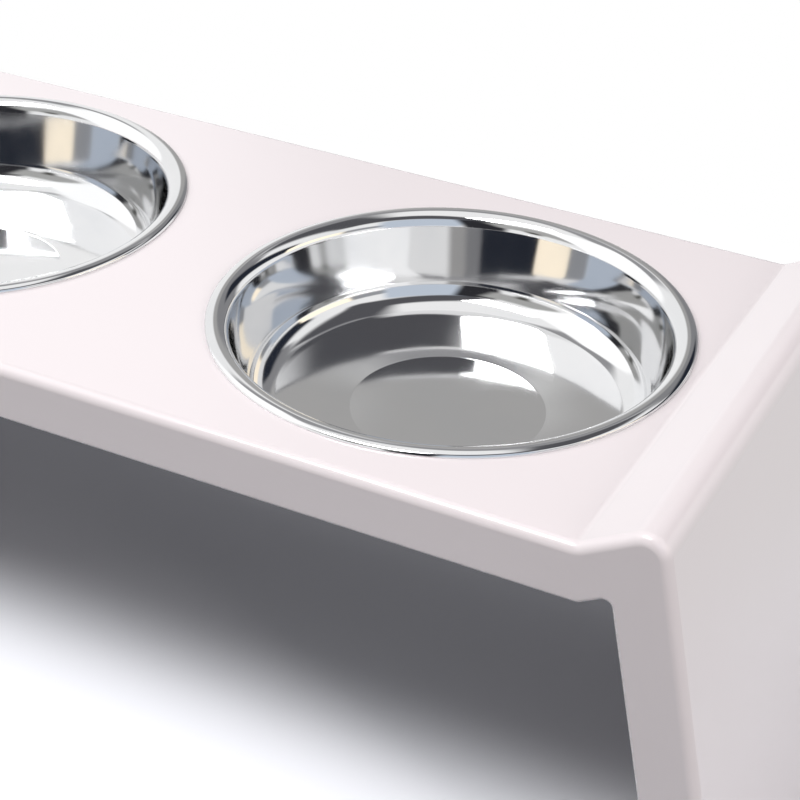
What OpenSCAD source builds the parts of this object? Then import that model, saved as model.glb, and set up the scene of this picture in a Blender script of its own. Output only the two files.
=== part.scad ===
// Raised pet feeder: a bent, lacquered board stand that carries two lift-out steel bowls.
// Axes: +X runs along the stand, +Y to its back, +Z up. The origin is on the floor, under the centre.

/* [Stand] */
// Height of the flat top above the floor
top_h = 150; // [110:1:180]
// Depth of the stand, front to back
depth = 195; // [190:1:230]
// Thickness of the board
board_t = 20; // [18:0.5:22]
// Thickness of the ramp between the flat top and the ridge
ramp_t = 18.5; // [18:0.5:20]
// Half the length of the flat top, up to where the board turns up
flat_half = 185.5; // [184:0.5:200]
// How steeply the board turns up at the ends, in degrees
ramp_angle = 29; // [20:1:35]
// Height of the sharp corner over the flat top, before it is rounded
ridge_h = 14.4; // [12:0.2:18]
// How far each leg leans outwards, in degrees
splay = 12; // [5:0.5:16]
// Radius of the outer corner, where the board turns down into the leg
corner_r = 8; // [6:0.5:9]
// Radius of the inner corner under it
inner_r = 2.5; // [2:0.5:5]
// Round-over of the board's outer long edges
edge_r = 3.5; // [2:0.5:5]
// Round-over of the board's inner long edges
under_edge_r = 1.5; // [1:0.5:4]

/* [Bowls] */
// Distance from the middle of the stand to each bowl's axis
bowl_x = 100; // [98:0.5:101]
// Outside radius of the rim
rim_r = 82.5; // [82:0.25:83]
// Radius of the rim's domed crown, seen in section
crown_r = 4.5; // [4:0.25:5]
// Thickness of the steel sheet
sheet_t = 0.8; // [0.6:0.1:0.9]
// Inside depth of a bowl below the flat top
bowl_depth = 34; // [30:1:40]
// Radius of the flat in the base
base_flat_r = 33.5; // [28:0.5:38]
// Slope of the dished bottom, in degrees
dish_slope = 5.5; // [3:0.5:9]
// Slope of the wall, in degrees
wall_slope = 76.4; // [74:0.2:78]
// Radius of the cut-out in the board
cutout_r = 77.5; // [77.25:0.25:78]

/* [Joints and feet] */
// Diameter of the glued dowels
dowel_d = 6; // [5:0.5:8]
// Length of a dowel
dowel_len = 24; // [20:1:28]
// Diameter of a rubber foot
foot_d = 15; // [12:0.5:16]
// Height of a foot under the leg
foot_h = 4; // [3:0.5:6]
// Distance of each foot from the middle, front to back
foot_y = 78; // [60:1:84]
// Diameter of the screw's shank
screw_d = 3.5; // [3:0.1:4]

/* [Hidden] */

LACQUER = [0.95, 0.90, 0.91];
STEEL = [0.78, 0.79, 0.81];
BEECH = [0.80, 0.65, 0.45];
RUBBER = [0.12, 0.12, 0.13];

ARC_STEPS = 8;          // facets in a quarter of a round-over
glue_gap = 0.1;         // room for glue round a dowel, and round a screw's shank
overrun = 12;           // how far a board runs on past its mitre before it is cut
past = 1;               // how far a cut runs out of what it cuts
block = 60;             // size of the blocks that cut off what lies past a joint
half_depth = depth / 2;

// Where the board turns: (x, z) of the sharp outer corners, for the right-hand end, z from the flat top.
ridge_x = flat_half + ridge_h / tan(ramp_angle);
half_corner = (180 - ramp_angle - (90 - splay)) / 2;    // half the angle inside the outer corner
ramp_dir = [cos(ramp_angle), sin(ramp_angle)];
leg_dir = [sin(splay), -cos(splay)];
ramp_in = [sin(ramp_angle), -cos(ramp_angle)];          // from the ramp's outer face into the board
leg_in = [-cos(splay), -sin(splay)];                    // from the leg's outer face into the board
ridge_len = corner_r / tan(half_corner);                // from the sharp corner to where its round starts
arc_c = [ridge_x, ridge_h] - ridge_len * ramp_dir + corner_r * ramp_in;
ramp_len = ridge_h / sin(ramp_angle) - ridge_len;

// The underside turns up at kink_x, and the joint between flat top and ramp runs from there to the valley.
kink_x = flat_half + (ramp_t - board_t * cos(ramp_angle)) / sin(ramp_angle);
mitre_lean = atan((kink_x - flat_half) / board_t);

// The joint between rail and leg lies this far down the leg, measured from the corner's centre.
rail_drop = 26;
leg_start = arc_c - corner_r * leg_in + rail_drop * leg_dir;   // outer face of the leg at that joint
leg_len = (top_h + leg_start[1]) / cos(splay) + overrun;       // past the floor; it is cut level later
leg_mid = leg_start + leg_in * board_t / 2;

// Centre of the leg's lower end, at the height of the foot's top.
foot_run = (top_h + leg_mid[1] - foot_h) / cos(splay);
foot_x = leg_mid[0] + foot_run * leg_dir[0];

top_dowel_y = [-80, -50, 50, 80];
leg_dowel_y = [-66, 0, 66];
foot_flare = 0.4;       // a foot is this much wider in radius at its top
foot_bore_r = screw_d / 2 + 0.2;
recess_r = 4.2;         // recess for the screw's head
recess_h = 2.4;
head_r = 3.4;
head_h = 1.8;
head_round = 0.9;       // round-over of the head
slot_l = 3.8;           // cross recess for the driver
slot_w = 0.9;
slot_h = 1;
screw_len = 18;
tip_h = 2;
tip_d = 0.6;
sunk = 0.1;             // how far one part of a solid runs into the next
ridge_seam = 32;        // where the revolved ridge starts, in degrees above +X

// Points along an arc from angle a0 to angle a1 about c.
function arc(c, r, a0, a1, n = ARC_STEPS) =
    [for (i = [0:n]) c + r * [cos(a0 + (a1 - a0) * i / n), sin(a0 + (a1 - a0) * i / n)]];

// A path walked like a turtle from p, heading h: each step is [length] or [radius, turn].
function walk(steps, p, h, i = 0) =
    i == len(steps) ? [p] :
    len(steps[i]) == 1
        ? concat([p], walk(steps, p + steps[i][0] * [cos(h), sin(h)], h, i + 1))
        : let (turn = steps[i][1],
               side = sign(turn),
               c = p + steps[i][0] * side * [-sin(h), cos(h)],
               pts = arc(c, steps[i][0], h - 90 * side, h - 90 * side + turn,
                         max(3, ceil(abs(turn) / 9))))
          concat([for (k = [0:len(pts) - 2]) pts[k]],
                 walk(steps, pts[len(pts) - 1], h + turn, i + 1));

// The walk's step for a bend of [radius, slope before, slope after].
function turn(bend) = [bend[0], bend[2] - bend[1]];

// Unit vector to the right of a path at point i.
function right_of(path, i) =
    let (a = path[max(i - 1, 0)],
         b = path[min(i + 1, len(path) - 1)],
         d = (b - a) / norm(b - a))
    [d[1], -d[0]];

// A strip of thickness t on the right of a path that starts level and ends straight down.
function strip(path, t) =
    let (last = len(path) - 1)
    concat(path,
           [for (i = [last:-1:0])
               path[i] + t * (i == 0 ? [0, -1] : i == last ? [-1, 0] : right_of(path, i))]);

// Sum of a list of vectors.
function total(v, i = 0) = i == len(v) - 1 ? v[i] : v[i] + total(v, i + 1);

// Where the lines at distances a and b from point p, in the directions u and v, meet.
function meet(p, u, a, v, b) =
    let (c = u * v)
    p + ((a - c * b) * u + (b - c * a) * v) / (1 - c * c);

// Cross-section of a board of thickness t, its outer face up at y = 0, its depth along x.
module board_section(t) {
    w = half_depth;
    polygon(concat(
        arc([w - edge_r, -edge_r], edge_r, 0, 90),
        arc([-w + edge_r, -edge_r], edge_r, 90, 180),
        arc([-w + under_edge_r, -t + under_edge_r], under_edge_r, 180, 270),
        arc([w - under_edge_r, -t + under_edge_r], under_edge_r, 270, 360)));
}

// A length of board, from (x, z) = start, running at `angle` above +X, outer face up.
module board_run(start, angle, length, t = board_t) {
    translate([start[0], 0, top_h + start[1]])
        rotate([0, -angle, 0])
            rotate([90, 0, 90])
                linear_extrude(length) board_section(t);
}

// A prism through the whole depth over an (x, z) outline, z from the flat top.
module across(outline, extra = past) {
    translate([0, half_depth + extra, top_h])
        rotate([90, 0, 0])
            linear_extrude(depth + 2 * extra) polygon(outline);
}

// Everything to the outside of the mitre between the flat top and the ramp.
module outside_mitre() {
    lean = block * tan(mitre_lean);
    across([[flat_half - lean, block], [flat_half + lean, -block],
            [flat_half + block, -block], [flat_half + block, block]]);
}

module mirrored(left) {
    if (left) mirror([1, 0, 0]) children();
    else children();
}

// Dowels across the mitre between the top and a rail, square to the mitre.
module top_dowels(extra = 0) {
    mid = [(flat_half + kink_x) / 2, -board_t / 2];
    for (y = top_dowel_y)
        translate([mid[0], y, top_h + mid[1]])
            rotate([0, 90 - mitre_lean, 0])
                cylinder(d = dowel_d + 2 * extra, h = dowel_len + 2 * extra, center = true, $fn = 48);
}

// Dowels between a rail and a leg, along the leg.
module leg_dowels(extra = 0) {
    for (y = leg_dowel_y)
        translate([leg_mid[0], y, top_h + leg_mid[1]])
            rotate([0, -splay, 0])
                cylinder(d = dowel_d + 2 * extra, h = dowel_len + 2 * extra, center = true, $fn = 48);
}

module top_panel() {
    color(LACQUER)
    difference() {
        board_run([-flat_half - overrun, 0], 0, 2 * (flat_half + overrun));
        for (left = [false, true])
            mirrored(left) {
                outside_mitre();
                top_dowels(glue_gap);
                translate([bowl_x, 0, top_h - board_t - past])
                    cylinder(r = cutout_r, h = board_t + 2 * past, $fn = 180);
            }
    }
}

// The moulded end: the board turns up, over the ridge and down into the leg.
module corner_rail(left) {
    color(LACQUER)
    mirrored(left)
    difference() {
        union() {
            intersection() {
                board_run([flat_half, 0] - overrun * ramp_dir, ramp_angle, ramp_len + overrun, ramp_t);
                outside_mitre();
            }
            board_run(arc_c - corner_r * leg_in, splay - 90, rail_drop);
            // The round of the ridge, with its ends rounded over. Its seam lies clear of the boards' ends.
            translate([arc_c[0], 0, top_h + arc_c[1]])
                rotate([90, -ridge_seam, 0])
                    rotate_extrude($fn = 72)
                        polygon(concat(
                            [[0, -half_depth]],
                            arc([corner_r - edge_r, -half_depth + edge_r], edge_r, -90, 0),
                            arc([corner_r - edge_r, half_depth - edge_r], edge_r, 0, 90),
                            [[0, half_depth]]));
            inner_fillet();
        }
        top_dowels(glue_gap);
        leg_dowels(glue_gap);
    }
}

// Fillet in the inner corner, under the ridge. Its ends flare, so that the round-over of the
// board's inner edges runs on round the corner.
module inner_fillet() {
    bisector = 270 - half_corner + splay;       // halfway between the ramp and the leg
    away = [cos(bisector), sin(bisector)];
    corner = meet([ridge_x, ridge_h], ramp_in, ramp_t, leg_in, board_t);
    reach = inner_r / tan(half_corner);
    centre = corner - reach * ramp_dir + inner_r * ramp_in;
    root = under_edge_r + past;                 // how far it reaches into the boards
    flare_r = inner_r + under_edge_r;
    difference() {
        across(concat(
            [corner - root / sin(half_corner) * away],
            [corner - reach * ramp_dir - root * ramp_in],
            arc(centre, inner_r / 2, 90 + ramp_angle, splay),
            [corner + reach * leg_dir - root * leg_in]), 0);
        translate([centre[0], 0, top_h + centre[1]])
            rotate([90, 0, 0])
                rotate_extrude($fn = 72)
                    polygon(concat(
                        [[0, -half_depth - past], [flare_r, -half_depth - past]],
                        arc([flare_r, -half_depth + under_edge_r], under_edge_r, 270, 180),
                        arc([flare_r, half_depth - under_edge_r], under_edge_r, 180, 90),
                        [[flare_r, half_depth + past], [0, half_depth + past]]));
    }
}

module leg_panel(left) {
    color(LACQUER)
    mirrored(left)
    difference() {
        board_run(leg_start, splay - 90, leg_len);
        leg_dowels(glue_gap);
        // Cut level where the feet go.
        translate([foot_x - block, -half_depth - past, foot_h - block])
            cube([2 * block, depth + 2 * past, block]);
        for (y = [-foot_y, foot_y])
            translate([foot_x, y, foot_h - past])
                cylinder(d = screw_d + 2 * glue_gap, h = screw_len - recess_h + past, $fn = 32);
    }
}

module dowels_top(left) color(BEECH) mirrored(left) top_dowels();

module dowels_leg(left) color(BEECH) mirrored(left) leg_dowels();

// Pressed steel bowl: flat base, dished bottom, steep wall, and a domed rim whose edge turns down.
module bowl(left) {
    crown_in = 20;          // slope of the crown where the lip meets it, in degrees
    crown_out = -30;        // and where it turns down to the rim's edge
    lip_gap = 0.05;         // between the rim's edge and the board
    // Bends along the inside of the sheet: [radius, slope before, slope after].
    toe = [6, 0, dish_slope];
    heel = [11.3, dish_slope, wall_slope];
    lip = [6, wall_slope, crown_in];
    crown = [crown_r, crown_in, crown_out];
    edge = [1.4, crown_out, -90];
    // The dish and the wall are as long as they must be to end at the rim's radius and height.
    bends = total([for (b = [toe, heel, lip, crown, edge])
        sign(b[2] - b[1]) * b[0] * [sin(b[2]) - sin(b[1]), cos(b[1]) - cos(b[2])]]);
    rest = [rim_r - base_flat_r, bowl_depth + lip_gap] - bends;
    dish_run = (rest[0] * sin(wall_slope) - rest[1] * cos(wall_slope)) / sin(wall_slope - dish_slope);
    wall_run = (rest[1] * cos(dish_slope) - rest[0] * sin(dish_slope)) / sin(wall_slope - dish_slope);
    inside = walk([
        [base_flat_r], turn(toe), [dish_run], turn(heel), [wall_run], turn(lip), turn(crown), turn(edge)
    ], [0, -bowl_depth], 0);
    color(STEEL)
    mirrored(left)
    translate([bowl_x, 0, top_h])
        rotate_extrude($fn = 180)
            polygon(strip(inside, sheet_t));
}

// Rubber foot with a recess for its screw's head.
module foot(left, y) {
    r = foot_d / 2;
    soft = 0.8;
    color(RUBBER)
    mirrored(left)
    translate([foot_x, y, 0])
        rotate_extrude($fn = 64)
            polygon(concat(
                [[recess_r, 0]],
                arc([r - soft, soft], soft, -90, 0, 4),
                [[r + foot_flare, foot_h], [foot_bore_r, foot_h],
                 [foot_bore_r, recess_h], [recess_r, recess_h]]));
}

// Its head lies in the foot's recess, with its rounded face down.
module foot_screw(left, y) {
    color(STEEL)
    mirrored(left)
    translate([foot_x, y, recess_h - head_h])
        union() {
            difference() {
                rotate_extrude($fn = 48)
                    polygon(concat(
                        [[0, 0]],
                        arc([head_r - head_round, head_round], head_round, -90, 0, 4),
                        [[head_r, head_h], [0, head_h]]));
                for (a = [0, 90])
                    rotate(a)
                        translate([-slot_l / 2, -slot_w / 2, -slot_h])
                            cube([slot_l, slot_w, 2 * slot_h]);
            }
            translate([0, 0, head_h - sunk])
                cylinder(d = screw_d, h = screw_len - tip_h - head_h + sunk, $fn = 32);
            translate([0, 0, screw_len - tip_h - sunk])
                cylinder(d1 = screw_d, d2 = tip_d, h = tip_h, $fn = 32);
        }
}

top_panel();
corner_rail(true);  // left_corner_rail
corner_rail(false);  // right_corner_rail
leg_panel(true);  // left_leg_panel
leg_panel(false);  // right_leg_panel
dowels_top(true);  // left_top_dowels
dowels_top(false);  // right_top_dowels
dowels_leg(true);  // left_leg_dowels
dowels_leg(false);  // right_leg_dowels
bowl(true);  // left_bowl
bowl(false);  // right_bowl
foot(true, -foot_y);  // front_left_foot
foot(false, -foot_y);  // front_right_foot
foot(true, foot_y);  // back_left_foot
foot(false, foot_y);  // back_right_foot
foot_screw(true, -foot_y);  // front_left_foot_screw
foot_screw(false, -foot_y);  // front_right_foot_screw
foot_screw(true, foot_y);  // back_left_foot_screw
foot_screw(false, foot_y);  // back_right_foot_screw
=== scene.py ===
# %% [markdown]
# # A raised pet feeder, dressed in Blender
#
# The real object is a low stand made of one board that seems to be folded: a flat top with two round
# cut-outs, ends that turn up into a rounded ridge, and legs that lean outwards. It is sprayed with a
# pale pink-white gloss lacquer. Two mirror-polished steel bowls drop into the cut-outs.
#
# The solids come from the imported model. This lesson dresses them: the stand, the bowls and the feet get
# finer meshes of the same shape, and the dowels and the screws keep their own. First come the frame and
# the camera, then each piece, then the finishes, and last the floor and the light.

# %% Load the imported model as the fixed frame
import math
import bmesh
import bpy
from mathutils import Matrix, Vector


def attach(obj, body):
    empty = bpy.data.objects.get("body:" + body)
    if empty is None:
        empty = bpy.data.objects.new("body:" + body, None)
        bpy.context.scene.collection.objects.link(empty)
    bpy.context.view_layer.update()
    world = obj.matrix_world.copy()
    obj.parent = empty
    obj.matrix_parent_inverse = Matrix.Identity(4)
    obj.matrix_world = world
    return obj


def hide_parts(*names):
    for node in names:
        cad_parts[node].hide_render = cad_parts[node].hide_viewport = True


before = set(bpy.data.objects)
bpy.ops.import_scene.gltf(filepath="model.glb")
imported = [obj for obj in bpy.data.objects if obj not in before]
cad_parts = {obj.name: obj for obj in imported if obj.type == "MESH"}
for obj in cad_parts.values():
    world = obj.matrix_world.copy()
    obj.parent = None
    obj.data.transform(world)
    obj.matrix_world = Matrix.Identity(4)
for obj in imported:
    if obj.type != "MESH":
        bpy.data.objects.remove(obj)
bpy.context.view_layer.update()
MM = 0.001

# %% [markdown]
# ## The camera
#
# A photograph's perspective is fixed by where the camera stands, and its crop by the focal length. Both
# rims are circles of known size, so the ellipses that they make in the picture give the camera's
# place. It is written here as a photographer would say it: the point aimed at, the distance, the turn
# round the object, the height, a small roll, and the lens.

# %% Place the camera
BOWL_X = 100 * MM                   # from the middle of the stand to each bowl's axis
TOP_Z = 150 * MM                    # height of the flat top over the floor
AIM = Vector((BOWL_X + 7.1 * MM, -52.3 * MM, TOP_Z))
DISTANCE = 0.6476                   # metres
AZIMUTH, ELEVATION, ROLL = 25.68, 32.23, 1.92      # degrees; azimuth 0 is straight in front
SENSOR_W, FOCAL = 36, 92.7          # millimetres, as lenses are sold


def place_camera():
    """A camera that looks at AIM, as the photograph was taken."""
    a, e = math.radians(AZIMUTH), math.radians(ELEVATION)
    back = Vector((math.sin(a) * math.cos(e), -math.cos(a) * math.cos(e), math.sin(e)))
    lens = bpy.data.cameras.new("camera")
    lens.sensor_width = SENSOR_W
    lens.lens = FOCAL
    camera = bpy.data.objects.new("camera", lens)
    camera.location = AIM + back * DISTANCE
    turn = (-back).to_track_quat("-Z", "Y").to_matrix()
    camera.rotation_euler = (turn @ Matrix.Rotation(math.radians(ROLL), 3, "Z")).to_euler()
    bpy.context.scene.collection.objects.link(camera)
    bpy.context.scene.camera = camera
    return camera


camera = place_camera()
print("camera at", [round(v, 3) for v in camera.location])

# %% [markdown]
# ## Small helpers for outlines and meshes
#
# The stand follows a flat outline with rounded corners. The first helper turns a list of corners, each
# with its own radius, into a smooth run of points, so that the outline needs only the points that give it
# its shape. The others make a mesh object, turn its faces outwards, and apply its modifiers.


# %% Helpers for outlines and meshes
def rounded(corners, step=6):
    """Points through (x, z, radius) corners, each made an arc with a point every `step` degrees."""
    points = []
    for i, (x, z, radius) in enumerate(corners):
        here = Vector((x, z))
        if radius == 0 or i in (0, len(corners) - 1):
            points.append(here)
            continue
        back = (Vector(corners[i - 1][:2]) - here).normalized()
        ahead = (Vector(corners[i + 1][:2]) - here).normalized()
        half = back.angle(ahead) / 2
        centre = here + (back + ahead).normalized() * radius / math.sin(half)
        start = here + back * radius / math.tan(half) - centre
        turn = math.pi - 2 * half
        side = -1 if start.cross(back) > 0 else 1
        count = max(3, math.ceil(math.degrees(turn) / step))
        for k in range(count + 1):
            angle = side * turn * k / count
            c, s = math.cos(angle), math.sin(angle)
            points.append(centre + Vector((start.x * c - start.y * s, start.x * s + start.y * c)))
    return points


def new_piece(name, vertices, faces):
    """A mesh object at the origin, linked to the scene."""
    mesh = bpy.data.meshes.new(name)
    mesh.from_pydata([tuple(v) for v in vertices], [], faces)
    piece = bpy.data.objects.new(name, mesh)
    bpy.context.scene.collection.objects.link(piece)
    return piece


def facing_out(piece):
    """Turns the faces of a closed piece outwards."""
    mesh = bmesh.new()
    mesh.from_mesh(piece.data)
    bmesh.ops.recalc_face_normals(mesh, faces=mesh.faces[:])
    if mesh.calc_volume(signed=True) < 0:
        bmesh.ops.reverse_faces(mesh, faces=mesh.faces[:])
    mesh.to_mesh(piece.data)
    mesh.free()
    return piece


def finish_mesh(piece):
    """Applies the piece's modifiers: what they make becomes its plain mesh."""
    graph = bpy.context.evaluated_depsgraph_get()
    made = bpy.data.meshes.new_from_object(piece.evaluated_get(graph),
                                           preserve_all_data_layers=True, depsgraph=graph)
    piece.modifiers.clear()
    piece.data = made
    made.name = piece.name
    print(piece.name, "-", len(made.vertices), "vertices,", len(made.polygons), "faces")
    return piece


# %% [markdown]
# ## The stand
#
# On the real stand several boards are mitred, dowelled and glued, and then sprayed, so that the lacquer
# closes every joint and one sees a single folded board. A sweep along a path won't make it, because
# the outer corner is rounder than the inner one. So the stand is an outline, seen from the front, drawn
# through the depth of the board. Its long edges are rounded by repeating the outline: each copy moves
# towards the front or back face and shrinks a little, along a quarter circle.
#
# Under the lacquer the valley and the kink of the fold are never knife sharp, so they get small radii
# too.

# %% The outline of the stand, from the front
HALF_DEPTH = 97.5 * MM              # half the stand, from front to back
BOARD_T, RAMP_T = 20 * MM, 18.5 * MM
FOOT_H = 4 * MM
FLAT_HALF = 185.5 * MM              # half the flat top, up to the valley
RIDGE_H = 14.4 * MM                 # the sharp corner over the flat top
RAMP, SPLAY = math.radians(29), math.radians(12)
EDGE_R, UNDER_EDGE_R = 3.5 * MM, 1.5 * MM
VALLEY_R, RIDGE_R, KINK_R, INNER_R = 6 * MM, 8 * MM, 3 * MM, 2.5 * MM

ridge = Vector((FLAT_HALF + RIDGE_H / math.tan(RAMP), TOP_Z + RIDGE_H))
leg_way = Vector((math.sin(SPLAY), -math.cos(SPLAY)))
leg_in = Vector((-math.cos(SPLAY), -math.sin(SPLAY)))           # from each outer face into the board
ramp_in = Vector((math.sin(RAMP), -math.cos(RAMP)))
kink_x = FLAT_HALF + (RAMP_T - BOARD_T * math.cos(RAMP)) / math.sin(RAMP)


def meet(point, first, a, second, b):
    """Where the lines at distances a and b from the point, along two unit vectors, cross."""
    c = first.dot(second)
    return point + ((a - c * b) * first + (b - c * a) * second) / (1 - c * c)


inner = meet(ridge, ramp_in, RAMP_T, leg_in, BOARD_T)


def leg_end(corner):
    """Where the leg's face that starts at `corner` meets the top of the feet."""
    return corner + leg_way * (corner.y - FOOT_H) / math.cos(SPLAY)


def both_ends(half):
    """Corners for the whole length, from those of the right-hand end, middle first."""
    return [(-x, z, r) for x, z, r in reversed(half)] + half


outer_corners = [(FLAT_HALF, TOP_Z, VALLEY_R), (*ridge, RIDGE_R), (*leg_end(ridge), 0)]
inner_corners = [(kink_x, TOP_Z - BOARD_T, KINK_R), (*inner, INNER_R), (*leg_end(inner), 0)]
outer_path = rounded(both_ends(outer_corners))
inner_path = rounded(both_ends(inner_corners))
print("outline points:", len(outer_path), "outside,", len(inner_path), "inside")


# %% Draw the outline through the depth, with rounded long edges
def inset(loop, amounts):
    """The closed loop with each side moved inwards, to its right, by its own amount."""
    moved = []
    for i, here in enumerate(loop):
        into = [((loop[(j + 1) % len(loop)] - loop[j]).normalized(), amounts[j]) for j in (i - 1, i)]
        (before, a), (after, b) = [(Vector((d.y, -d.x)), amount) for d, amount in into]
        step = (before + after) * (a + b) / 2 / (1 + before.dot(after))
        if a != b:
            step += (before - after) * (a - b) / 2 / (1 - before.dot(after))
        moved.append(here + step)
    return moved


def board_solid(name, quarter_steps=7):
    """The folded board without its cut-outs."""
    loop = outer_path + list(reversed(inner_path))
    count = len(loop)
    radii = [EDGE_R] * len(outer_path) + [UNDER_EDGE_R] * len(inner_path)
    shrink = list(radii)
    shrink[len(outer_path) - 1] = shrink[-1] = 0            # the legs' ends stay level
    rings = []
    for side in (-1, 1):
        for k in range(quarter_steps + 1):
            angle = math.pi / 2 * (quarter_steps - k if side < 0 else k) / quarter_steps
            ring = inset(loop, [r * (1 - math.cos(angle)) for r in shrink])
            rings.append([(p.x, side * (HALF_DEPTH - r * (1 - math.sin(angle))), p.y)
                          for p, r in zip(ring, radii)])
    vertices = [point for ring in rings for point in ring]
    faces = [(a * count + i, a * count + (i + 1) % count,
              (a + 1) * count + (i + 1) % count, (a + 1) * count + i)
             for a in range(len(rings) - 1) for i in range(count)]
    faces += [tuple(range(count)), tuple(range((len(rings) - 1) * count, len(rings) * count))]
    return facing_out(new_piece(name, vertices, faces))


stand = board_solid("lacquered_stand")
print("stand:", len(stand.data.vertices), "vertices before the cut-outs")

# %% [markdown]
# The cut-outs are bored with a Boolean, and then a Bevel takes the sharpness off the edges that are still
# square, which are those of the cut-outs and the leg ends. Weighted Normal keeps the flat faces flat to
# the eye, right up to the round edges: a gloss finish shows every dent in the shading.

# %% Bore the cut-outs
CUTOUT_R = 77.5 * MM


def bore(piece, x, radius, low, high, segments=160):
    """Bores a round hole upright through the piece."""
    mesh = bmesh.new()
    bmesh.ops.create_cone(mesh, cap_ends=True, segments=segments, radius1=radius, radius2=radius,
                          depth=high - low, matrix=Matrix.Translation((x, 0, (low + high) / 2)))
    drill = new_piece("drill", [], [])
    mesh.to_mesh(drill.data)
    mesh.free()
    cut = piece.modifiers.new("cut", "BOOLEAN")
    cut.operation = "DIFFERENCE"
    cut.solver = "EXACT"
    cut.object = drill
    finish_mesh(piece)
    bpy.data.objects.remove(drill)


for bowl_side in (-1, 1):
    bore(stand, bowl_side * BOWL_X, CUTOUT_R, TOP_Z - 2 * BOARD_T, TOP_Z + BOARD_T)


# %% Soften the square edges and smooth the shading
def soften(piece, width, above_angle, segments=3):
    """Rounds the edges sharper than an angle, and shades the piece as a smooth, flat-faced one."""
    for face in piece.data.polygons:
        face.use_smooth = True
    bevel = piece.modifiers.new("bevel", "BEVEL")
    bevel.width = width
    bevel.segments = segments
    bevel.limit_method = "ANGLE"
    bevel.angle_limit = math.radians(above_angle)
    bevel.miter_outer = "MITER_ARC"
    normals = piece.modifiers.new("normals", "WEIGHTED_NORMAL")
    normals.weight = 100
    return finish_mesh(piece)


soften(stand, width=1 * MM, above_angle=50)

# %% [markdown]
# ## The bowls
#
# A steel bowl like this is pressed from a disc of sheet, so it is a solid of revolution: the same
# profile at every angle. Spin in edit mode would make it, but a Geometry Nodes tree can be used again
# for other pieces: its inputs are the profile, the number of its points, the steps round, the axis and
# the finish.
#
# The profile is walked like a turtle along the inside of the sheet: a flat base, a shallow dish, a steep
# wall, and a domed rim whose edge turns down onto the board. The bends are given, and the two straight
# runs follow from the rim's radius and height. The outside lies a sheet's thickness away.

# %% The bends of a bowl
RIM_R = 82.5 * MM
SHEET_T = 0.8 * MM
BOWL_DEPTH = 34 * MM                # inside, below the flat top
BASE_FLAT_R = 33.5 * MM
LIP_GAP = 0.05 * MM                 # between the rim's edge and the board
DISH, WALL, CROWN_IN, CROWN_OUT = 5.5, 76.4, 20, -30      # slopes of the sheet, in degrees

# Bends along the inside of the sheet, from the base out: radius, slope before, slope after.
TOE, HEEL, LIP = (6 * MM, 0, DISH), (11.3 * MM, DISH, WALL), (6 * MM, WALL, CROWN_IN)
CROWN, EDGE = (4.5 * MM, CROWN_IN, CROWN_OUT), (1.4 * MM, CROWN_OUT, -90)


def uphill(degrees):
    """The way along a stretch of this slope, as (outwards, up)."""
    return Vector((math.cos(math.radians(degrees)), math.sin(math.radians(degrees))))


def bend_reach(radius, before, after):
    """How far a bend carries the sheet, as (outwards, up)."""
    turned = uphill(after) - uphill(before)
    return radius * (1 if after > before else -1) * Vector((turned.y, -turned.x))


def straight_runs():
    """Lengths of the dish and the wall that bring the rim's edge to its radius and height."""
    bends = sum((bend_reach(*bend) for bend in (TOE, HEEL, LIP, CROWN, EDGE)), Vector((0, 0)))
    rest = Vector((RIM_R - BASE_FLAT_R, BOWL_DEPTH + LIP_GAP)) - bends
    dish, wall = uphill(DISH), uphill(WALL)
    return rest.cross(wall) / dish.cross(wall), dish.cross(rest) / dish.cross(wall)


dish_run, wall_run = straight_runs()
print("dish and wall in mm:", round(dish_run / MM, 2), round(wall_run / MM, 2))


# %% Walk the profile
def walk(start, steps, degrees_per_point=4, flat_end=0.2 * MM):
    """Points and headings of a turtle that goes (length,) straight or (radius, from, to) round, in degrees.

    A straight stretch gets a point close to each end, which keeps its smooth shading flat in between.
    """
    here, heading = Vector(start), 0.0
    trail = [(here.copy(), heading)]
    for step in steps:
        if len(step) == 1:
            way = Vector((math.cos(heading), math.sin(heading)))
            trail += [(here + way * run, heading) for run in (flat_end, step[0] - flat_end, step[0])]
            here = here + way * step[0]
            continue
        radius, turn = step[0], math.radians(step[2] - step[1])
        side = 1 if turn > 0 else -1
        centre = here + Vector((-math.sin(heading), math.cos(heading))) * radius * side
        count = max(4, math.ceil(math.degrees(abs(turn)) / degrees_per_point))
        for k in range(1, count + 1):
            now = heading + turn * k / count
            here = centre + Vector((math.sin(now), -math.cos(now))) * radius * side
            trail.append((here.copy(), now))
        heading += turn
    return trail


def bowl_profile():
    """(radius, height) points from the axis along the inside to the rim, and back along the outside."""
    trail = walk((0, TOP_Z - BOWL_DEPTH),
                 [(BASE_FLAT_R,), TOE, (dish_run,), HEEL, (wall_run,), LIP, CROWN, EDGE])
    outside = [p + Vector((math.sin(h), -math.cos(h))) * SHEET_T for p, h in trail]
    return [p for p, _ in trail] + outside[::-1]


profile = bowl_profile()
low, high = min(p.y for p in profile) - TOP_Z, max(p.y for p in profile) - TOP_Z
print("bowl profile:", len(profile), "points, from", round(low / MM, 2), "to", round(high / MM, 2), "mm")


# %% A Geometry Nodes tree that revolves a profile
def set_values(node, **values):
    """Sets a node's properties, or its inputs of that name. An underscore stands for a space."""
    for name, value in values.items():
        if hasattr(node, name):
            setattr(node, name, value)
        else:
            node.inputs[name.replace("_", " ")].default_value = value
    return node


def add_node(tree, kind, **values):
    """A new node of the tree, with these values."""
    return set_values(tree.nodes.new(kind), **values)


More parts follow.
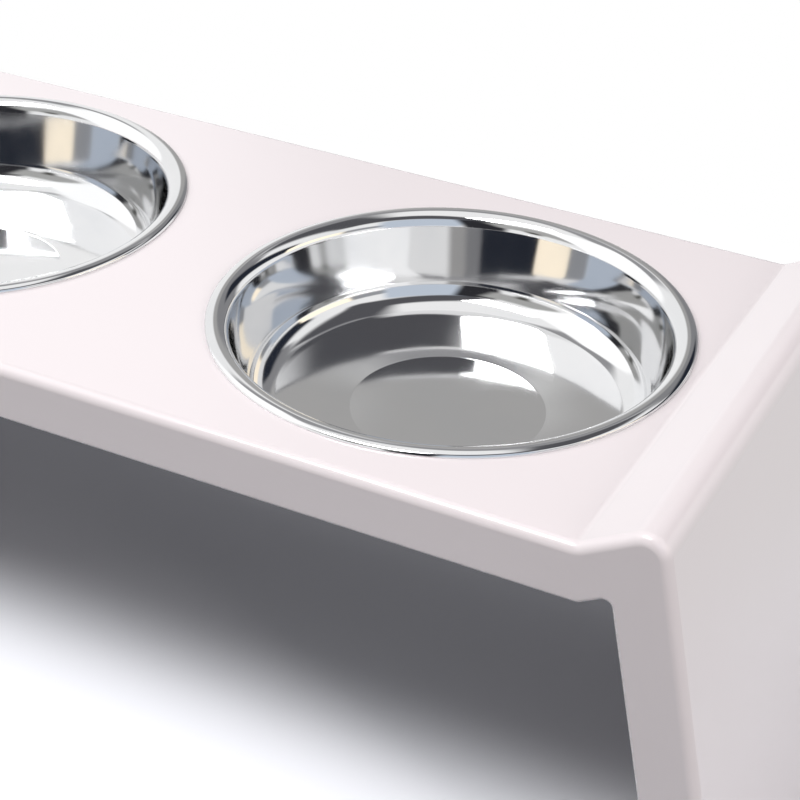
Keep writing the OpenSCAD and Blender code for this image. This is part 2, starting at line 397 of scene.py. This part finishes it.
def math_node(tree, operation, first, second=None):
    """One arithmetic step on numbers or sockets. Returns the result's socket."""
    node = tree.nodes.new("ShaderNodeMath")
    node.operation = operation
    for socket, value in zip(node.inputs, (first, second)):
        if isinstance(value, bpy.types.NodeSocket):
            tree.links.new(value, socket)
        elif value is not None:
            socket.default_value = value
    return node.outputs[0]


def revolve_tree():
    """Profile points (radius in X, height in Z) are turned round an upright axis and closed."""
    tree = bpy.data.node_groups.new("revolve profile", "GeometryNodeTree")
    for name, kind in (("Profile", "NodeSocketGeometry"), ("Points", "NodeSocketInt"),
                       ("Steps Round", "NodeSocketInt"), ("Axis", "NodeSocketVector"),
                       ("Finish", "NodeSocketMaterial")):
        tree.interface.new_socket(name, in_out="INPUT", socket_type=kind)
    tree.interface.new_socket("Solid", in_out="OUTPUT", socket_type="NodeSocketGeometry")
    given, result = tree.nodes.new("NodeGroupInput"), tree.nodes.new("NodeGroupOutput")
    link = tree.links.new

    # A grid with one column of vertices for each step round, and one more that closes the turn.
    grid = tree.nodes.new("GeometryNodeMeshGrid")
    link(math_node(tree, "ADD", given.outputs["Steps Round"], 1), grid.inputs["Vertices X"])
    link(given.outputs["Points"], grid.inputs["Vertices Y"])
    index = tree.nodes.new("GeometryNodeInputIndex").outputs[0]
    column = math_node(tree, "FLOOR", math_node(tree, "DIVIDE", index, given.outputs["Points"]))
    row = math_node(tree, "FLOORED_MODULO", index, given.outputs["Points"])

    # Each grid vertex takes the profile point of its row, turned by the angle of its column.
    place = tree.nodes.new("GeometryNodeInputPosition").outputs[0]
    sample = add_node(tree, "GeometryNodeSampleIndex", data_type="FLOAT_VECTOR")
    link(given.outputs["Profile"], sample.inputs["Geometry"])
    link(place, sample.inputs["Value"])
    link(row, sample.inputs["Index"])
    angle = math_node(tree, "MULTIPLY",
                      math_node(tree, "DIVIDE", column, given.outputs["Steps Round"]), 2 * math.pi)
    turn = add_node(tree, "ShaderNodeVectorRotate", rotation_type="Z_AXIS")
    link(sample.outputs["Value"], turn.inputs["Vector"])
    link(angle, turn.inputs["Angle"])
    shift = add_node(tree, "ShaderNodeVectorMath", operation="ADD")
    link(turn.outputs[0], shift.inputs[0])
    link(given.outputs["Axis"], shift.inputs[1])
    move = tree.nodes.new("GeometryNodeSetPosition")
    link(grid.outputs["Mesh"], move.inputs["Geometry"])
    link(shift.outputs[0], move.inputs["Position"])

    # The seam and the poles are closed, and the shading is smooth.
    merge = add_node(tree, "GeometryNodeMergeByDistance", Distance=0.02 * MM)
    smooth = tree.nodes.new("GeometryNodeSetShadeSmooth")
    paint = tree.nodes.new("GeometryNodeSetMaterial")
    link(move.outputs[0], merge.inputs["Geometry"])
    link(merge.outputs[0], smooth.inputs[0])
    link(smooth.outputs[0], paint.inputs["Geometry"])
    link(given.outputs["Finish"], paint.inputs["Material"])
    link(paint.outputs[0], result.inputs[0])
    return tree


REVOLVE = revolve_tree()
print("tree:", REVOLVE.name, "-", len(REVOLVE.nodes), "nodes")


def set_inputs(modifier, **values):
    """Sets a Geometry Nodes modifier's inputs by their names. Blender itself stores them by identifier."""
    for socket in modifier.node_group.interface.items_tree:
        name = socket.name.replace(" ", "_")
        if socket.in_out == "INPUT" and name in values:
            modifier[socket.identifier] = values[name]


# %% Spin both bowls
STEPS_ROUND = 256


def spin(name, points, axis, material, steps=STEPS_ROUND):
    """A piece of revolution round an upright axis, from (radius, height) points."""
    piece = new_piece(name, [(p.x, 0, p.y) for p in points], [])
    modifier = piece.modifiers.new("revolve", "NODES")
    modifier.node_group = REVOLVE
    set_inputs(modifier, Points=len(points), Steps_Round=steps, Axis=axis, Finish=material)
    return facing_out(finish_mesh(piece))


mirror_steel = bpy.data.materials.new("mirror_steel")
bowls = {side: spin(side + "_bowl_polished", profile, (x, 0, 0), mirror_steel)
         for side, x in (("left", -BOWL_X), ("right", BOWL_X))}

# %% [markdown]
# ## The feet
#
# Each foot is a moulded rubber button with a recess for its screw and two fine grip rings on its sole.
# The same foot is needed four times, so the bowls' tree makes it once, and a second tree puts an instance
# of it on each of four points. Realize Instances then makes real faces of them.

# %% A tree that puts a piece on points
FOOT_R, FOOT_Y = 7.5 * MM, 78 * MM
FOOT_X = (leg_end(ridge).x + leg_end(inner).x) / 2              # under the middle of the leg's end
RECESS_R, RECESS_H, SHANK_R = 4.2 * MM, 2.4 * MM, 1.95 * MM


def repeat_tree():
    """An instance of one object on every point, made real."""
    tree = bpy.data.node_groups.new("repeat on points", "GeometryNodeTree")
    for name, kind in (("Points", "NodeSocketGeometry"), ("Piece", "NodeSocketObject"),
                       ("Finish", "NodeSocketMaterial")):
        tree.interface.new_socket(name, in_out="INPUT", socket_type=kind)
    tree.interface.new_socket("Pieces", in_out="OUTPUT", socket_type="NodeSocketGeometry")
    given, result = tree.nodes.new("NodeGroupInput"), tree.nodes.new("NodeGroupOutput")
    link = tree.links.new
    piece = tree.nodes.new("GeometryNodeObjectInfo")
    stamp = tree.nodes.new("GeometryNodeInstanceOnPoints")
    real = tree.nodes.new("GeometryNodeRealizeInstances")
    paint = tree.nodes.new("GeometryNodeSetMaterial")
    link(given.outputs["Points"], stamp.inputs["Points"])
    link(given.outputs["Piece"], piece.inputs["Object"])
    link(piece.outputs["Geometry"], stamp.inputs["Instance"])
    link(stamp.outputs[0], real.inputs[0])
    link(real.outputs[0], paint.inputs["Geometry"])
    link(given.outputs["Finish"], paint.inputs["Material"])
    link(paint.outputs[0], result.inputs[0])
    return tree


REPEAT = repeat_tree()
print("tree:", REPEAT.name, "-", len(REPEAT.nodes), "nodes")


# %% Make one foot and repeat it
def foot_profile():
    """(radius, height) points: up the bore, over the top, down the side, along the sole to the recess."""
    soft, flare = 0.8 * MM, 0.4 * MM
    ring_w, ring_d, ring_radii = 0.35 * MM, 0.25 * MM, (6.2 * MM, 5.1 * MM)
    corner = [(FOOT_R - soft + soft * math.cos(a), soft + soft * math.sin(a))
              for a in (math.radians(-15 * k) for k in range(7))]
    grooves = []
    for r in ring_radii:
        grooves += [(r + ring_w, 0), (r + ring_w / 2, ring_d), (r - ring_w / 2, ring_d), (r - ring_w, 0)]
    outline = [(RECESS_R, RECESS_H), (SHANK_R, RECESS_H), (SHANK_R, FOOT_H), (FOOT_R + flare, FOOT_H)]
    outline += corner + grooves + [(RECESS_R, 0), (RECESS_R, RECESS_H)]
    return [Vector(p) for p in outline]


moulded_rubber = bpy.data.materials.new("moulded_rubber")
one_foot = spin("one_foot", foot_profile(), (0, 0, 0), moulded_rubber, steps=48)
feet = new_piece("rubber_feet", [(x, y, 0) for x in (-FOOT_X, FOOT_X) for y in (-FOOT_Y, FOOT_Y)], [])
repeat = feet.modifiers.new("repeat", "NODES")
repeat.node_group = REPEAT
set_inputs(repeat, Piece=one_foot, Finish=moulded_rubber)
finish_mesh(feet)
bpy.data.objects.remove(one_foot)

# %% [markdown]
# ## Shared effects
#
# Three effects show on more than one material, so each is a shader node group with named inputs:
# ripple, the slow waviness that bends reflections in sprayed lacquer and in pressed sheet; grain, a
# fine all-over roughness; and smudge, patches where hands and cloths have left the gloss a little
# duller.


# %% Build the shader groups
def shader_group(name, inputs, outputs):
    """An empty shader group with float inputs (name, default) and named float outputs."""
    tree = bpy.data.node_groups.new(name, "ShaderNodeTree")
    for label, default in inputs:
        socket = tree.interface.new_socket(label, in_out="INPUT", socket_type="NodeSocketFloat")
        socket.default_value = default
    for label in outputs:
        tree.interface.new_socket(label, in_out="OUTPUT", socket_type="NodeSocketFloat")
    return tree, tree.nodes.new("NodeGroupInput"), tree.nodes.new("NodeGroupOutput")


def noise_on_object(tree, scale, detail, roughness=0.5):
    """A noise texture on Object coordinates. The scale is a socket, in bumps a metre."""
    place = tree.nodes.new("ShaderNodeTexCoord")
    noise = add_node(tree, "ShaderNodeTexNoise", Detail=detail, Roughness=roughness)
    tree.links.new(place.outputs["Object"], noise.inputs["Vector"])
    tree.links.new(scale, noise.inputs["Scale"])
    return noise.outputs[0]


def ripple_group():
    """Long, low waves with a share of short ones."""
    inputs = [("Long Scale", 30), ("Short Scale", 400), ("Short Share", 0.2)]
    tree, given, result = shader_group("ripple", inputs, ["Height"])
    long_wave = noise_on_object(tree, given.outputs["Long Scale"], detail=0)
    short_wave = noise_on_object(tree, given.outputs["Short Scale"], detail=1)
    added = math_node(tree, "MULTIPLY", short_wave, given.outputs["Short Share"])
    tree.links.new(math_node(tree, "ADD", long_wave, added), result.inputs["Height"])
    return tree


def smudge_group():
    """Soft patches: a mask, and a roughness that goes from Low to High with it."""
    inputs = [("Scale", 12), ("Low", 0.1), ("High", 0.2)]
    tree, given, result = shader_group("smudge", inputs, ["Roughness", "Mask"])
    patches = noise_on_object(tree, given.outputs["Scale"], detail=4, roughness=0.6)
    spread = add_node(tree, "ShaderNodeMapRange", interpolation_type="SMOOTHSTEP",
                      From_Min=0.4, From_Max=0.7)
    tree.links.new(patches, spread.inputs["Value"])
    gloss = tree.nodes.new("ShaderNodeMapRange")
    tree.links.new(spread.outputs[0], gloss.inputs["Value"])
    tree.links.new(given.outputs["Low"], gloss.inputs["To Min"])
    tree.links.new(given.outputs["High"], gloss.inputs["To Max"])
    tree.links.new(gloss.outputs[0], result.inputs["Roughness"])
    tree.links.new(spread.outputs[0], result.inputs["Mask"])
    return tree


def grain_group():
    """A fine, even roughness."""
    tree, given, result = shader_group("grain", [("Scale", 2500)], ["Height"])
    specks = noise_on_object(tree, given.outputs["Scale"], detail=3, roughness=0.7)
    tree.links.new(specks, result.inputs["Height"])
    return tree


RIPPLE, SMUDGE, GRAIN = ripple_group(), smudge_group(), grain_group()
print("shared effects:", RIPPLE.name, SMUDGE.name, GRAIN.name)

# %% [markdown]
# ## The finishes
#
# Gloss comes from the Principled shader itself. What is the same all over, such as how metallic a piece
# is or how thick its clear coat, is set on the shader's own socket. What varies over the surface comes in
# through the groups: the roughness from the smudges, and the normal from a Bump node.


# %% Helpers for a finish
def use_group(tree, group, **values):
    """Places a group and sets its inputs."""
    return add_node(tree, "ShaderNodeGroup", node_tree=group, **values)


def start_finish(material, **values):
    """Turns the material into a Principled shader with these plain values. Returns its tree and shader."""
    material.use_nodes = True
    shader = set_values(material.node_tree.nodes["Principled BSDF"], **values)
    return material.node_tree, shader


def add_bump(tree, shader, height, distance):
    """A bump from a height socket. The distance is what a height of 1 stands for."""
    bump = add_node(tree, "ShaderNodeBump", Strength=1.0, Distance=distance)
    tree.links.new(height, bump.inputs["Height"])
    tree.links.new(bump.outputs["Normal"], shader.inputs["Normal"])


def tint(tree, shader, mask, first, second):
    """Base Color between two close colours, by a mask."""
    mix = add_node(tree, "ShaderNodeMix", data_type="RGBA", A=(*first, 1), B=(*second, 1))
    tree.links.new(mask, mix.inputs["Factor"])
    tree.links.new(mix.outputs["Result"], shader.inputs["Base Color"])


def add_smudges(tree, shader, scale, low, high, clean, dull):
    """Lets the smudges vary the roughness from low to high, and the colour from clean to dull."""
    smudge = use_group(tree, SMUDGE, Scale=scale, Low=low, High=high)
    tree.links.new(smudge.outputs["Roughness"], shader.inputs["Roughness"])
    tint(tree, shader, smudge.outputs["Mask"], clean, dull)


# %% [markdown]
# The lacquer is sprayed on in several coats and hardens to a gloss. Up close such a coat has orange
# peel, a fine waviness that the spray leaves. A Coat layer over a slightly rough base gives the two
# depths of shine that lacquer has, which one low roughness wouldn't, and the ripple stays far below a
# millimetre.


# %% Gloss lacquer
def lacquer():
    """Pale pink-white, two-pack gloss: an even colour, a clear coat, and a trace of orange peel."""
    material = bpy.data.materials.new("gloss_lacquer")
    tree, shader = start_finish(material, Coat_Weight=0.6, Coat_Roughness=0.04, Coat_IOR=1.5, IOR=1.45)
    add_smudges(tree, shader, scale=9, low=0.16, high=0.24,
                clean=(0.865, 0.795, 0.810), dull=(0.850, 0.780, 0.795))
    ripple = use_group(tree, RIPPLE, Long_Scale=25, Short_Scale=380, Short_Share=0.05)
    add_bump(tree, shader, ripple.outputs["Height"], 0.12 * MM)
    return material


stand.data.materials.clear()
stand.data.materials.append(lacquer())
print("stand's finish:", stand.data.materials[0].name)

# %% [markdown]
# The bowls are stainless steel that is buffed as they turn, which leaves rings too fine to see one by
# one, and pressing leaves the sheet a little wavy. A ring pattern could be painted as an image. Here it
# is a noise on one number, the distance from the bowl's axis, so that it has no seam.

# %% Mirror-polished steel
RING_SHARE = 0.006                  # height of the rings, against that of the ripple


def ring_radius(tree):
    """Distance from the nearer bowl's axis: the bowls are alike on both sides of the middle."""
    place = tree.nodes.new("ShaderNodeTexCoord")
    split = tree.nodes.new("ShaderNodeSeparateXYZ")
    tree.links.new(place.outputs["Object"], split.inputs[0])
    across = math_node(tree, "SUBTRACT", math_node(tree, "ABSOLUTE", split.outputs["X"]), BOWL_X)
    squares = [math_node(tree, "MULTIPLY", v, v) for v in (across, split.outputs["Y"])]
    return math_node(tree, "SQRT", math_node(tree, "ADD", *squares))


def polish_steel(material):
    """Stainless steel, buffed as it turns, which leaves faint rings over the waves left by pressing."""
    tree, shader = start_finish(material, Metallic=1.0)
    add_smudges(tree, shader, scale=22, low=0.05, high=0.10,
                clean=(0.82, 0.82, 0.825), dull=(0.79, 0.795, 0.805))
    ripple = use_group(tree, RIPPLE, Long_Scale=26, Short_Scale=120, Short_Share=0.02)
    rings = add_node(tree, "ShaderNodeTexNoise", noise_dimensions="1D", Scale=1500, Detail=2)
    tree.links.new(ring_radius(tree), rings.inputs["W"])
    faint = math_node(tree, "MULTIPLY", rings.outputs[0], RING_SHARE)
    add_bump(tree, shader, math_node(tree, "ADD", ripple.outputs["Height"], faint), 0.25 * MM)


polish_steel(mirror_steel)
print("bowls' finish:", mirror_steel.name)

# %% [markdown]
# The small pieces hardly show, but each still gets its own finish: matt rubber with a fine grain under
# the legs, screws plated with zinc, which goes blotchy, and bare beech for the dowels, where a noise is
# drawn out into fibres.


# %% Rubber, zinc and beech
def rubber(material):
    """Moulded rubber: nearly black, matt, with a fine grain."""
    tree, shader = start_finish(material)
    add_smudges(tree, shader, scale=160, low=0.55, high=0.8,
                clean=(0.018, 0.018, 0.020), dull=(0.045, 0.044, 0.043))
    grain = use_group(tree, GRAIN, Scale=2600)
    add_bump(tree, shader, grain.outputs["Height"], 0.08 * MM)


def zinc():
    """Bright zinc plating on the screws."""
    material = bpy.data.materials.new("bright_zinc")
    tree, shader = start_finish(material, Metallic=1.0)
    add_smudges(tree, shader, scale=300, low=0.22, high=0.42,
                clean=(0.60, 0.61, 0.60), dull=(0.50, 0.49, 0.44))
    grain = use_group(tree, GRAIN, Scale=1800)
    add_bump(tree, shader, grain.outputs["Height"], 0.03 * MM)
    return material


def beech():
    """Bare beech dowels. The noise is drawn out along X, so that it reads as fibres."""
    material = bpy.data.materials.new("beech_wood")
    tree, shader = start_finish(material, Roughness=0.6)
    place = tree.nodes.new("ShaderNodeTexCoord")
    stretch = add_node(tree, "ShaderNodeMapping", Scale=(0.08, 1, 1))
    fibres = add_node(tree, "ShaderNodeTexNoise", Scale=900, Detail=4)
    tree.links.new(place.outputs["Object"], stretch.inputs["Vector"])
    tree.links.new(stretch.outputs["Vector"], fibres.inputs["Vector"])
    tint(tree, shader, fibres.outputs[0], (0.55, 0.36, 0.19), (0.34, 0.20, 0.09))
    add_bump(tree, shader, fibres.outputs[0], 0.1 * MM)
    return material


rubber(moulded_rubber)
for ending, material in (("_dowels", beech()), ("_foot_screw", zinc())):
    for node in (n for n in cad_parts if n.endswith(ending)):
        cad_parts[node].data.materials.clear()
        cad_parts[node].data.materials.append(material)
print("materials:", sorted(m.name for m in bpy.data.materials if m.users))

# %% [markdown]
# ## What moves with what
#
# The lacquered stand takes the place of the five board solids, the rubber feet that of the four foot
# solids, and each spun bowl that of its own. Each of these new pieces rides on the body that it belongs
# to, so that a bowl can be lifted out.

# %% Ride on the bodies
BOARDS = ["top_panel", "left_corner_rail", "right_corner_rail", "left_leg_panel", "right_leg_panel"]
FEET = [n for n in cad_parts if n.endswith("_foot")]

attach(stand, "stand")
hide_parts(*BOARDS)
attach(feet, "stand")
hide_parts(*FEET)
for side, bowl in bowls.items():
    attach(bowl, side + "_bowl")
    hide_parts(side + "_bowl")
print("replaced nodes:", len(BOARDS) + len(FEET) + len(bowls), "of", len(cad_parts))

# %% [markdown]
# ## Floor and light
#
# The soft shadow under the stand tells where the light comes from. A broad soft box hangs high in front, a
# little to the left. A weak one low on the right lifts the outer side of the leg, and another on the left
# lifts the ramp, which leans that way. The floor is white to the camera and in reflections, but returns
# less light to the stand than white paper would, which keeps the front face in shade. Not far from the
# stand it melts into the background.

# %% The floor
FLOOR_HALF = 4.0                    # metres
FLOOR_DROP = 0.2 * MM               # under the soles of the feet
MELT_FROM, MELT_TO = 0.24, 0.42     # metres from the middle, where the floor turns into background
PAPER = (1.19, 1.20, 1.26)          # colour of the floor that is seen
BOUNCE = (0.08, 0.08, 0.085)        # and of the floor that throws light back to the stand


def mirrored(tree, ray):
    """1 for a ray that reaches the camera over mirrors alone, 0 for one that carries light to a surface."""
    direct = math_node(tree, "LESS_THAN", ray.outputs["Diffuse Depth"], 0.5)
    return math_node(tree, "MULTIPLY", ray.outputs["Is Glossy Ray"], direct)


def floor_finish():
    """White for the camera and for mirrors, and a dark grey for the light that it throws back.

    The white is a little over 1, as when a retoucher lifts a floor until its lit part is clean.
    """
    material = bpy.data.materials.new("studio_floor")
    material.use_nodes = True
    tree = material.node_tree
    tree.nodes.clear()
    paper = add_node(tree, "ShaderNodeBsdfDiffuse", Color=(*PAPER, 1))
    grey = add_node(tree, "ShaderNodeBsdfDiffuse", Color=(*BOUNCE, 1))
    glow = add_node(tree, "ShaderNodeEmission", Color=(1, 1, 1, 1), Strength=1.0)
    place = tree.nodes.new("ShaderNodeTexCoord")
    away = add_node(tree, "ShaderNodeVectorMath", operation="LENGTH")
    tree.links.new(place.outputs["Object"], away.inputs[0])
    melt = add_node(tree, "ShaderNodeMapRange", interpolation_type="SMOOTHSTEP",
                    From_Min=MELT_FROM, From_Max=MELT_TO)
    tree.links.new(away.outputs["Value"], melt.inputs["Value"])
    white = tree.nodes.new("ShaderNodeMixShader")
    tree.links.new(melt.outputs[0], white.inputs[0])
    tree.links.new(paper.outputs[0], white.inputs[1])
    tree.links.new(glow.outputs[0], white.inputs[2])
    ray = tree.nodes.new("ShaderNodeLightPath")
    seen = math_node(tree, "MAXIMUM", ray.outputs["Is Camera Ray"], mirrored(tree, ray))
    mix = tree.nodes.new("ShaderNodeMixShader")
    tree.links.new(seen, mix.inputs[0])
    tree.links.new(grey.outputs[0], mix.inputs[1])
    tree.links.new(white.outputs[0], mix.inputs[2])
    out = tree.nodes.new("ShaderNodeOutputMaterial")
    tree.links.new(mix.outputs[0], out.inputs["Surface"])
    return material


floor = new_piece("floor", [(x * FLOOR_HALF, y * FLOOR_HALF, -FLOOR_DROP)
                            for x, y in ((-1, -1), (1, -1), (1, 1), (-1, 1))], [(0, 1, 2, 3)])
floor.data.materials.append(floor_finish())
print("floor:", 2 * FLOOR_HALF, "m square")

# %% The lamps
LAMP_AIM = Vector((BOWL_X / 2, 0, TOP_Z))       # on the top, half-way to the right bowl's axis


def way_to(azimuth, elevation):
    """A unit vector from degrees. Azimuth 0 goes behind the stand, 90 to its right."""
    a, e = math.radians(azimuth), math.radians(elevation)
    return Vector((math.sin(a) * math.cos(e), math.cos(a) * math.cos(e), math.sin(e)))


def soft_box(name, way, distance, size, power, colour=(1, 1, 1)):
    """A rectangular area lamp that hangs that way from LAMP_AIM and points at it, in metres and watts."""
    lamp = bpy.data.lights.new(name, "AREA")
    lamp.shape = "RECTANGLE"
    lamp.size, lamp.size_y = size
    lamp.energy = power
    lamp.color = colour
    box = bpy.data.objects.new(name, lamp)
    box.location = LAMP_AIM + way * distance
    box.rotation_euler = (LAMP_AIM - box.location).to_track_quat("-Z", "Y").to_euler()
    bpy.context.scene.collection.objects.link(box)
    return box


key = soft_box("key", way_to(205, 65), distance=3.0, size=(1.6, 0.9), power=57)
right_fill = soft_box("right_fill", way_to(106, 24), distance=1.3, size=(0.56, 0.56), power=6.7,
                      colour=(1, 0.965, 0.95))
left_fill = soft_box("left_fill", way_to(262, 34), distance=1.6, size=(1.2, 0.9), power=12)
for fill in (right_fill, left_fill):
    fill.visible_glossy = False             # it lights the stand, and doesn't show in the steel
print("lamps:", key.name, right_fill.name, left_fill.name)

# %% [markdown]
# ## What the mirror sees
#
# A mirror has no colour of its own: a polished bowl shows the room. In a studio the photographer stands
# black, grey and bright cards around it, because steel in a plain white tent looks like paper. Here the
# cards are painted on the world, where mirrored rays alone see them, so that they light nothing. One
# group masks a card by its direction, and each card gets its own place, size and colour.


# %% A group that masks one card
def card_group():
    """1 inside a rectangle seen in a direction, 0 outside, with a soft edge. Sizes are tangents."""
    tree = bpy.data.node_groups.new("card", "ShaderNodeTree")
    for label in ("Direction", "Facing", "Right", "Up"):
        tree.interface.new_socket(label, in_out="INPUT", socket_type="NodeSocketVector")
    for label in ("Half Width", "Half Height", "Soft"):
        tree.interface.new_socket(label, in_out="INPUT", socket_type="NodeSocketFloat")
    tree.interface.new_socket("Mask", in_out="OUTPUT", socket_type="NodeSocketFloat")
    given, result = tree.nodes.new("NodeGroupInput"), tree.nodes.new("NodeGroupOutput")

    def along(label):
        dot = add_node(tree, "ShaderNodeVectorMath", operation="DOT_PRODUCT")
        tree.links.new(given.outputs["Direction"], dot.inputs[0])
        tree.links.new(given.outputs[label], dot.inputs[1])
        return dot.outputs["Value"]

    depth = along("Facing")
    mask = math_node(tree, "GREATER_THAN", depth, 0.05)         # 0 for directions away from the card
    for label, half in (("Right", "Half Width"), ("Up", "Half Height")):
        off = math_node(tree, "ABSOLUTE", math_node(tree, "DIVIDE", along(label), depth))
        edge = add_node(tree, "ShaderNodeMapRange", interpolation_type="SMOOTHSTEP", To_Min=1, To_Max=0)
        tree.links.new(off, edge.inputs["Value"])
        for end, operation in (("From Min", "SUBTRACT"), ("From Max", "ADD")):
            bound = math_node(tree, operation, given.outputs[half], given.outputs["Soft"])
            tree.links.new(bound, edge.inputs[end])
        mask = math_node(tree, "MULTIPLY", mask, edge.outputs[0])
    tree.links.new(mask, result.inputs["Mask"])
    return tree


CARD = card_group()
print("group:", CARD.name, "-", len(CARD.nodes), "nodes")

# %% The cards
# Each card: azimuth, elevation, width, height and soft edge, all in degrees, and its colour, where 1 is
# white. Azimuth 0 lies behind the stand, 90 to its right. Where two overlap, the later one covers the
# earlier.
CARDS = [
    (50, 62, 60, 24, 4, (0.10, 0.10, 0.11)),           # dark, high behind on the right
    (125, 62, 60, 24, 4, (0.10, 0.10, 0.11)),          # and on towards the front
    (308, 51, 26, 22, 3, (0.34, 0.34, 0.35)),          # grey, high behind on the left
    (345, 50, 22, 24, 3, (0.33, 0.33, 0.34)),          # and on towards the back
    (347, 17, 30, 42, 4, (0.42, 0.415, 0.41)),         # grey, behind, a little to the left
    (5, 22, 32, 44, 4, (0.26, 0.26, 0.27)),            # darker grey, behind
    (33, 28, 54, 16, 3, (0.020, 0.024, 0.036)),        # black, behind on the right
    (80, 21, 38, 12, 1.5, (1.45, 1.28, 1.02)),         # cream, on the right
    (107, 21, 22, 12, 2, (0.35, 0.36, 0.38)),          # grey, next to it
    (139, 27, 42, 46, 4, (0.58, 0.65, 0.75)),          # blue-grey, front right
    (171, 22, 22, 54, 3, (0.03, 0.03, 0.035)),         # black, in front
    (200, 34, 40, 23, 4, (0.45, 0.45, 0.44)),          # grey, front left
    (197, 22, 8, 10, 3, (0.09, 0.09, 0.08)),           # dark olive, low on it
    (255, 34, 60, 56, 3, (1.25, 1.25, 1.25)),          # bright, on the left
]


def paint_cards(tree, colour):
    """Lays the cards over a plain colour. Returns the colour's socket."""
    direction = tree.nodes.new("ShaderNodeTexCoord").outputs["Generated"]
    for azimuth, elevation, width, height, soft, tone in CARDS:
        facing, right = way_to(azimuth, elevation), way_to(azimuth + 90, 0)
        half_w, half_h, edge = (math.tan(math.radians(v)) for v in (width / 2, height / 2, soft))
        card = use_group(tree, CARD, Facing=facing, Right=right, Up=right.cross(facing),
                         Half_Width=half_w, Half_Height=half_h, Soft=edge)
        tree.links.new(direction, card.inputs["Direction"])
        mix = add_node(tree, "ShaderNodeMix", data_type="RGBA", B=(*tone, 1))
        tree.links.new(card.outputs["Mask"], mix.inputs["Factor"])
        if isinstance(colour, bpy.types.NodeSocket):
            tree.links.new(colour, mix.inputs["A"])
        else:
            mix.inputs["A"].default_value = (*colour, 1)
        colour = mix.outputs["Result"]
    return colour


# %% The world: white behind the object, cards for mirrors, dim for the light that falls on it
DIM_LIGHT = 0.185                   # strength of what lights the object; 1 would be a white tent


def studio_world():
    """The world's shader. Returns the world."""
    world = bpy.data.worlds.new("studio")
    bpy.context.scene.world = world
    world.use_nodes = True
    tree = world.node_tree
    tree.nodes.clear()
    ray = tree.nodes.new("ShaderNodeLightPath")
    dim = add_node(tree, "ShaderNodeBackground", Color=(0.95, 0.96, 1.0, 1), Strength=DIM_LIGHT)
    white = add_node(tree, "ShaderNodeBackground", Color=(1, 1, 1, 1), Strength=1.0)
    studio = add_node(tree, "ShaderNodeBackground", Strength=1.0)
    tree.links.new(paint_cards(tree, (1, 1, 1)), studio.inputs["Color"])
    shown = dim.outputs[0]
    direct = math_node(tree, "MAXIMUM", ray.outputs["Is Camera Ray"], ray.outputs["Is Transmission Ray"])
    for mask, background in ((mirrored(tree, ray), studio), (direct, white)):
        mix = tree.nodes.new("ShaderNodeMixShader")
        tree.links.new(mask, mix.inputs[0])
        tree.links.new(shown, mix.inputs[1])
        tree.links.new(background.outputs[0], mix.inputs[2])
        shown = mix.outputs[0]
    out = tree.nodes.new("ShaderNodeOutputWorld")
    tree.links.new(shown, out.inputs["Surface"])
    return world


world = studio_world()
print("world:", world.name, "with", len(CARDS), "cards")

# %% [markdown]
# ## The view
#
# The colours are shown as they are written, with the Standard view.

# %% Finish
bpy.context.scene.view_settings.view_transform = "Standard"
